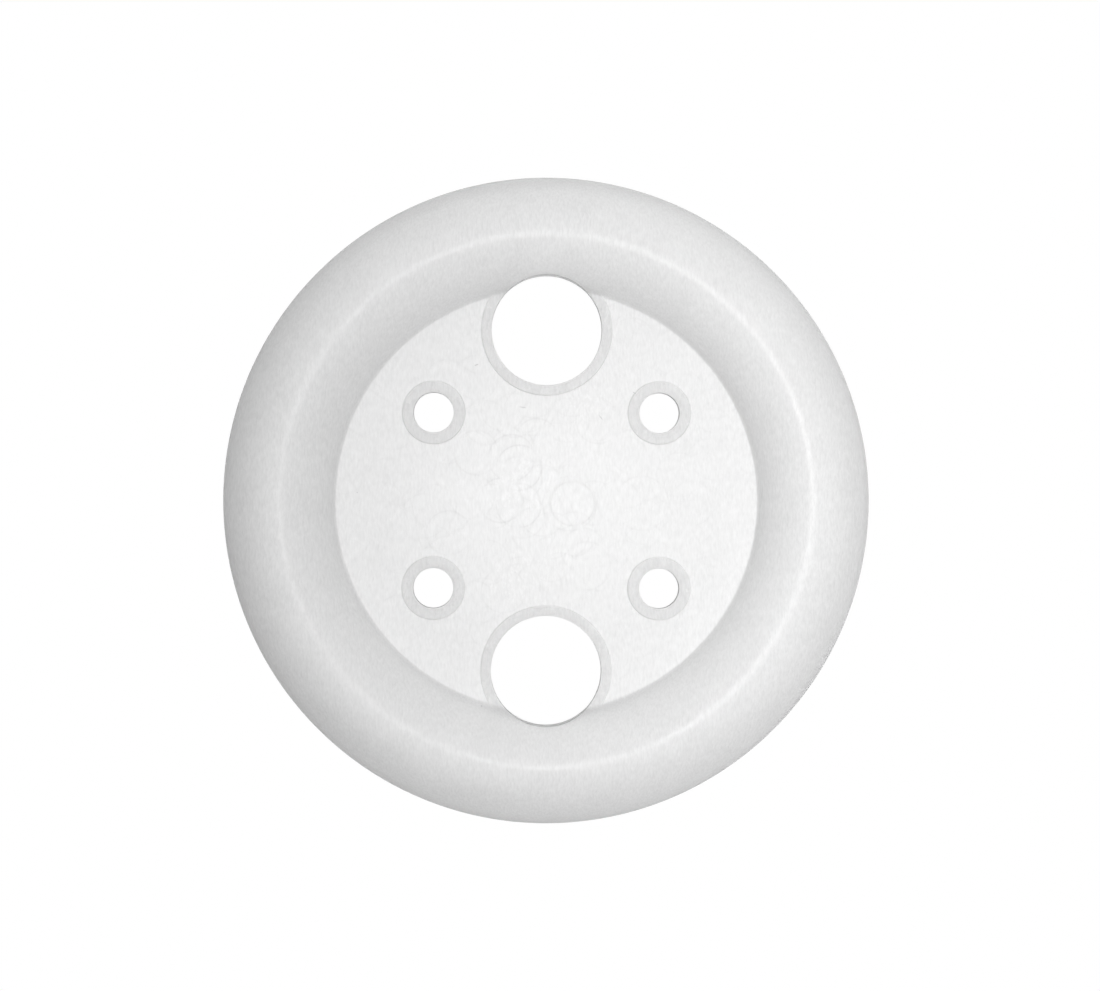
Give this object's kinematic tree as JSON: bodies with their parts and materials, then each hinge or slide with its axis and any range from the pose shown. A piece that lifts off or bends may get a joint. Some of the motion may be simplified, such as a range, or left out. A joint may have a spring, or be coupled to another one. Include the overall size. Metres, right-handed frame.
{
  "type": "ice fishing tip up disc",
  "caption": "Flat round moulded disc with a thick rounded rim and a thin web, pierced by large finger holes and small fixing holes that each have a low raised land.",
  "frame": {"origin": "on the disc's axis, in the plane that it rests on when it lies on its rim", "axes": "+Z along the disc's axis, upwards; +Y towards one of the two large holes"},
  "size_m": [0.129, 0.129, 0.0164],
  "materials": {
    "white_plastic": "satin, slightly translucent milky white"
  },
  "bodies": {
    "root": {"disc": "white_plastic"}
  },
  "joints": []
}
